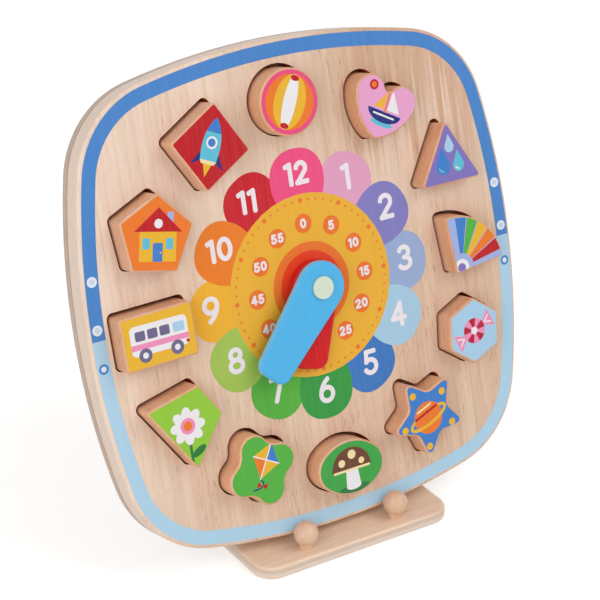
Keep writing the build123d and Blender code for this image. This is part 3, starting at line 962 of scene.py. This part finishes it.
class CLOCK_OT_dress_board(bpy.types.Operator):
    """Finish the face board, with its scorched cut-outs, and the back panel"""

    bl_idname = "clock.dress_board"
    bl_label = "Dress board"

    # Zones in metres from the middle of the dial: where each starts or ends and where it is full
    cut_zone = (0.141, 0.144)
    sap_zone = (0.0, 0.18)
    heart_rise = (0.065, 0.11)
    heart_half = (0.03, 0.062)
    under_rise = (0.0, 0.05)
    # The cut-outs' zone is round for a power of two and squarer for a higher one
    cut_power = 4.0
    # The way in which the zone of sapwood and painted sheen grows paler, and the middle of the heartwood in
    # metres
    sap_side = UP * 0.4 - RIGHT
    heart_middle = 0.088
    # Shares of each tone where it is full
    # The edges' share of their paler tone of painted bounce light
    edge_share = 0.6
    # The pale zone's share: sapwood and a painted sheen
    sap_share = 0.78
    under_share = 0.4
    seam_share = 0.7
    floor_share = 0.85
    # The glue line's soft edge in millimetres behind the front of the panel
    seam_depths = (1.2, 0.5)
    # How squarely a surface of the panel faces forwards where the floors start and where they are full
    floor_fade = (0.5, 0.9)

    def execute(self, context):
        finishes = context.scene.clock_finishes
        dress("face_board", self.face_timber(finishes))
        dress("back_panel", self.panel_timber(finishes))
        return {"FINISHED"}

    def face_timber(self, finishes):
        """Timber of the face board, with a pale zone of sapwood and painted sheen, heartwood, edges painted
        paler and greyer as bounce light, and scorched cut-outs.
        """
        board, tree, shader, colour = timber("board_timber", "board_pale", "board_deep", UP_THE_BOARD)
        # Paler towards the upper left: sapwood with a painted sheen
        colour = self.sapwood(tree, colour, finishes.board_sap)
        colour = self.heartwood(tree, colour, finishes.board_heart, finishes.board_sap)
        # Edges and cut walls paler and greyer: painted bounce light
        mask, edge = toned_edges(tree, shader, colour, NORMAL, finishes.board_edge, self.edge_share)
        away = [calc(tree, "ABSOLUTE", along(tree, axis)) for axis in (RIGHT, UP)]
        powers = [calc(tree, "POWER", distance, self.cut_power) for distance in away]
        reach = calc(tree, "POWER", calc(tree, "ADD", *powers), 1 / self.cut_power)
        inner = ranged(tree, reach, *self.cut_zone, 1.0, 0.0)
        cut = mixed(tree, times(tree, mask, inner), edge, opaque(finishes.scorch))
        feed(shader, Base_Color=cut)
        return board

    def sapwood(self, tree, colour, tone):
        """Paler timber towards the upper left, partly sapwood and partly a painted sheen, with a wandering
        edge and deeper streaks along the grain.
        """
        vector = grain_vector(tree, UP_THE_BOARD)
        aside = calc(tree, "ADD", along(tree, self.sap_side), streaks(tree, vector, SAP_SHEEN_EDGE))
        zone = ranged(tree, aside, *self.sap_zone, 0.0, self.sap_share)
        return mixed(tree, times(tree, zone, streaks(tree, vector, SAP_SHEEN_STREAKS)), colour, opaque(tone))

    def heartwood(self, tree, colour, tone, pale):
        """Brown streaks from the top, right of the middle, down to uneven ends over paler timber."""
        vector = grain_vector(tree, UP_THE_BOARD)
        height = along(tree, UP)
        upper = ranged(tree, calc(tree, "ADD", height, streaks(tree, vector, HEART_ENDS)), *self.heart_rise)
        off_middle = calc(tree, "ABSOLUTE", calc(tree, "SUBTRACT", along(tree, RIGHT), self.heart_middle))
        band = ranged(tree, off_middle, *self.heart_half, 1.0, 0.0)
        under = calc(tree, "SUBTRACT", ranged(tree, height, *self.under_rise), upper)
        paler = times(tree, band, ranged(tree, under, 0.0, 1.0, 0.0, self.under_share))
        colour = mixed(tree, paler, colour, opaque(pale))
        streaked = times(tree, band, upper, streaks(tree, vector, HEART_STREAKS))
        return mixed(tree, streaked, colour, opaque(tone))

    def panel_timber(self, finishes):
        """Timber of the back panel, with a glue line at its front and warmer floors in the cut-outs."""
        panel, tree, shader, colour = timber(
            "panel_timber", "panel_pale", "panel_deep", UP_THE_BOARD, pores=0.35, blush="panel_blush",
        )
        corners = frame["nodes"]["back_panel"].data.vertices
        front = max((BOARD.inverted() @ corner.co).z for corner in corners)
        start, full = (front - depth * MM for depth in self.seam_depths)
        seam = ranged(tree, along(tree, NORMAL), start, full, 0.0, self.seam_share)
        colour = mixed(tree, times(tree, seam, edge_mask(tree, NORMAL)), colour, opaque(finishes.seam))
        floors = ranged(tree, facing(tree, NORMAL), *self.floor_fade, 0.0, self.floor_share)
        feed(shader, Base_Color=mixed(tree, floors, colour, opaque(finishes.pocket)))
        return panel


class CLOCK_OT_print_dial(bpy.types.Operator):
    """Print the petals, the disc, the numbers and the minute dots"""

    bl_idname = "clock.print_dial"
    bl_label = "Print dial"

    # Hours whose numbers stand off the middle of their petals, in millimetres
    numeral_shifts = {2: (1.2, 1.0), 3: (0.9, 0.3), 9: (-2.2, 0.0), 11: (-2.0, -0.8)}
    # Degrees for an hour and a minute, and round the yellow disc from its first point to its last
    hour_turn = 30
    minute_turn = 6
    disc_turn = 357

    def execute(self, context):
        size = {name: getattr(context.scene.clock_dial, name) / MM for name in ClockDial.__annotations__}
        petal = petal_outline(size["petal_reach"], size["petal_half"])
        disc_edge = arc((0, 0), size["disc_radius"], 0, self.disc_turn)
        layers = []
        for hour in (*range(1, 13, 2), *range(2, 13, 2)):
            layers.append((f"petal_{hour}", placed([petal], turn=self.hour_turn * hour)))
        layers.append(("disc_yellow", [disc_edge]))
        layers.append(("ring_orange", [disc((0, 0), size["ring_radius"])]))
        layers.append(("centre_red", [disc((0, 0), size["centre_radius"])]))
        for minute in range(60):
            five = minute % 5 == 0
            radius = size["dot_large"] if five else size["dot_small"]
            spot = placed([disc((0, size["dot_ring"]), radius)], turn=self.minute_turn * minute)
            layers.append(("ring_orange" if five else "minute_brown", spot))
        for hour in range(1, 13):
            angle = radians(self.hour_turn * hour)
            ring, rise = size["numeral_ring"], size["numeral_rise"]
            aside, above = self.numeral_shifts.get(hour, (0.0, 0.0))
            spot = (ring * sin(angle) + aside, ring * cos(angle) + rise + above)
            height = size["double_height"] if hour > 9 else size["numeral_height"]
            layers.append(("numeral_white", number(str(hour), spot, height, size["numeral_stroke"])))
            spot = (size["minute_ring"] * sin(angle), size["minute_ring"] * cos(angle))
            layers.append(("ring_orange", [disc(spot, size["minute_spot"])]))
            minutes = str(5 * (hour % 12))
            minutes = number(minutes, spot, size["minute_height"], size["minute_stroke"])
            layers.append(("numeral_white", minutes))
        petals = [placed([petal], turn=self.hour_turn * hour)[0] for hour in range(12)]
        print_sheet("dial_print", [disc_edge, *petals], layers, 0.0, "clock_board")
        return {"FINISHED"}


class CLOCK_OT_print_border(bpy.types.Operator):
    """Print the two-coloured border stripe and its dots"""

    bl_idname = "clock.print_border"
    bl_label = "Print border"

    # Places of the dots on the stripe, in millimetres from the middle of the dial
    high_dots = ((142.1, 34.4), (143.5, 6.3))
    low_dot = (143.3, -16.6)
    # Shares of a dot's radius that its eye takes up, and the inks' run past the stripe in millimetres
    high_eye = 0.58
    low_eye = 0.54
    overrun = 9

    def execute(self, context):
        border = context.scene.clock_border
        loops, level = face_loops("face_board")
        shift = (border.shift / MM, 0.0)
        outer = inset(loops[0], border.margin / MM)
        inner = inset(outer, border.stripe / MM)
        stripe = []
        for index, point in enumerate(outer):
            stripe.append([outer[index - 1], point, inner[index], inner[index - 1]])
        reach = max(abs(x) for x, y in outer) + self.overrun
        radius = border.dot / MM
        upper = [(-reach, 0), (reach, 0), (reach, reach), (-reach, reach)]
        lower = [(-reach, -reach), (reach, -reach), (reach, 0), (-reach, 0)]
        layers = [("stripe_deep", [upper]), ("stripe_light", [lower])]
        for side in (-1, 1):
            for x, y in self.high_dots:
                layers.append(("dot_white", [disc((side * x, y), radius)]))
                layers.append(("dot_grey", [disc((side * x, y), radius * self.high_eye)]))
            spot = (side * self.low_dot[0], self.low_dot[1])
            layers.append(("stripe_deep", [disc(spot, radius)]))
            layers.append(("dot_white", [disc(spot, radius * self.low_eye)]))
        layers = [(ink_name, placed(shapes, shift, degrees(border.turn))) for ink_name, shapes in layers]
        print_sheet("border_print", placed(stripe, shift), layers, level, "clock_board")
        return {"FINISHED"}


class CLOCK_OT_dress_hands(bpy.types.Operator):
    """Paint the hands and finish their axle and washers"""

    bl_idname = "clock.dress_hands"
    bl_label = "Dress hands"

    def execute(self, context):
        finishes = context.scene.clock_finishes
        # The long hand's sides get a lighter tone of painted light
        dress("long_hand", coat("long_hand_paint", finishes.long_hand, side=finishes.hand_side))
        dress("short_hand", coat("short_hand_paint", finishes.short_hand))
        dress("hand_axle", coat("cap_paint", finishes.cap, show=0.05))
        fibre = coat("washer_fibre", finishes.washer, UPRIGHT, show=0.12)
        for place in ("lower", "upper"):
            dress(f"washer_{place}", fibre)
        return {"FINISHED"}


class CLOCK_OT_dress_blocks(bpy.types.Operator):
    """Finish the sorting blocks and print a picture on each"""

    bl_idname = "clock.dress_blocks"
    bl_label = "Dress blocks"

    # Bare timber round each picture, in millimetres
    print_margin = 0.05

    def execute(self, context):
        wood = timber("block_timber", "block_pale", "block_deep", UP_THE_BOARD, pores=0.4)[0]
        for name in BLOCKS:
            node = f"{name}_block"
            dress(node, wood)
            loops, level = face_loops(node)
            outline = inset(loops[0], self.print_margin)
            low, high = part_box(node)
            middle = BOARD.inverted() @ ((low + high) / 2) / MM
            ground_ink, picture, turn, grow = BLOCK_PRINTS[name]
            layers = [(ground_ink, [outline])]
            for ink_name, polygons in picture():
                layers.append((ink_name, placed(polygons, (middle.x, middle.y), turn, grow)))
            print_sheet(f"{node}_print", [outline], layers, level, node)
        return {"FINISHED"}


class CLOCK_OT_set_stage(bpy.types.Operator):
    """Lay a pale floor, hang soft lights and place the camera"""

    bl_idname = "clock.set_stage"
    bl_label = "Set stage"

    # Places and sizes of the lights and half the width of the floor, in metres
    key_place, key_size = (1.1, -1.5, 1.9), 1.5
    fill_place, fill_size = (-1.9, -1.3, 1.1), 1.8
    floor_half = 4.0
    # Two tones of the floor's mottle, and the camera's sensor in millimetres
    floor_tones = ((0.80, 0.80, 0.80, 1.0), (0.83, 0.83, 0.82, 1.0))
    sensor_width = 36.0

    def execute(self, context):
        scene = context.scene
        stage = scene.clock_stage
        scene.view_settings.view_transform = "Standard"
        self.lay_floor(stage)
        self.light_room(scene, stage)
        self.hang_light("key_light", self.key_place, self.key_size, stage.key_power)
        self.hang_light("fill_light", self.fill_place, self.fill_size, stage.fill_power)
        self.place_camera(scene, stage)
        return {"FINISHED"}

    def lay_floor(self, stage):
        """A wide pale floor that keeps shadows and reads white to the camera."""
        half = self.floor_half
        mesh = bpy.data.meshes.new("floor")
        corners = [(-half, -half, 0), (half, -half, 0), (half, half, 0), (-half, half, 0)]
        mesh.from_pydata(corners, [], [(0, 1, 2, 3)])
        material, tree, shader = new_material("floor_paper")
        place = put(tree, "TexCoord").outputs["Object"]
        mottle = put(tree, "TexNoise", Vector=place, Scale=40.0, Detail=3.0).outputs[0]
        feed(shader, Base_Color=mixed(tree, mottle, *self.floor_tones), Roughness=0.9)
        glow = put(tree, "Emission", Strength=times(tree, self.seen(tree), stage.floor_lift))
        both = put(tree, "AddShader", i0=shader.outputs[0], i1=glow.outputs[0])
        feed(tree.nodes["Material Output"], Surface=both.outputs[0])
        mesh.materials.append(material)
        floor = bpy.data.objects.new("floor", mesh)
        bpy.context.scene.collection.objects.link(floor)

    def seen(self, tree):
        """One where the camera looks straight on, or by a reflection or through glass."""
        path = put(tree, "LightPath")
        sharp = calc(tree, "MAXIMUM", path.outputs["Is Glossy Ray"], path.outputs["Is Transmission Ray"])
        return calc(tree, "MAXIMUM", path.outputs["Is Camera Ray"], sharp)

    def light_room(self, scene, stage):
        """Even room light on the object, plain white behind it."""
        world = bpy.data.worlds.new("room")
        world.use_nodes = True
        scene.world = world
        tree = world.node_tree
        strength = put(tree, "Mix", {"data_type": "FLOAT"}, i0=self.seen(tree), i2=stage.room_light, i3=1.0)
        white = (1.0, 1.0, 1.0, 1.0)
        feed(tree.nodes["Background"], Strength=strength.outputs[0], Color=white)

    def hang_light(self, name, place, size, power):
        """A square soft light that looks at the dial."""
        lamp = bpy.data.lights.new(name, "AREA")
        lamp.size = size
        lamp.energy = power
        holder = bpy.data.objects.new(name, lamp)
        holder.location = place
        holder.rotation_euler = (DIAL - Vector(place)).to_track_quat("-Z", "Y").to_euler()
        bpy.context.scene.collection.objects.link(holder)

    def place_camera(self, scene, stage):
        """The camera that looks at the clock as asked."""
        camera = bpy.data.cameras.new("camera")
        camera.lens = stage.focal_length
        camera.sensor_width = self.sensor_width
        viewer = bpy.data.objects.new("camera", camera)
        viewer.location = DIAL + Vector(stage.camera_place)
        viewer.rotation_euler = (pi / 2 - stage.elevation, 0, stage.azimuth)
        scene.collection.objects.link(viewer)
        scene.camera = viewer


OPERATORS = (
    CLOCK_OT_dress_stand,
    CLOCK_OT_dress_board,
    CLOCK_OT_print_dial,
    CLOCK_OT_print_border,
    CLOCK_OT_dress_hands,
    CLOCK_OT_dress_blocks,
    CLOCK_OT_set_stage,
)


class CLOCK_PT_sidebar(bpy.types.Panel):
    """Steps that dress the clock"""

    bl_idname = "CLOCK_PT_sidebar"
    bl_label = "Shape sorting clock"
    bl_space_type = "VIEW_3D"
    bl_region_type = "UI"
    bl_category = "Clock"

    def draw(self, context):
        for operator in OPERATORS:
            self.layout.operator(operator.bl_idname)


GROUPS = {
    "clock_inks": ClockInks,
    "clock_finishes": ClockFinishes,
    "clock_dial": ClockDial,
    "clock_border": ClockBorder,
    "clock_stage": ClockStage,
}
CLASSES = (*GROUPS.values(), *OPERATORS, CLOCK_PT_sidebar)


def register():
    """Make the settings, steps and panel known to Blender."""
    for cls in CLASSES:
        bpy.utils.register_class(cls)
    for name, group in GROUPS.items():
        setattr(bpy.types.Scene, name, PointerProperty(type=group))


def unregister():
    """Take the settings, steps and panel out again."""
    for name in GROUPS:
        delattr(bpy.types.Scene, name)
    for cls in reversed(CLASSES):
        bpy.utils.unregister_class(cls)


def main():
    """Run every step."""
    register()
    for operator in OPERATORS:
        group, step = operator.bl_idname.split(".")
        getattr(getattr(bpy.ops, group), step)()


if __name__ == "__main__":
    main()
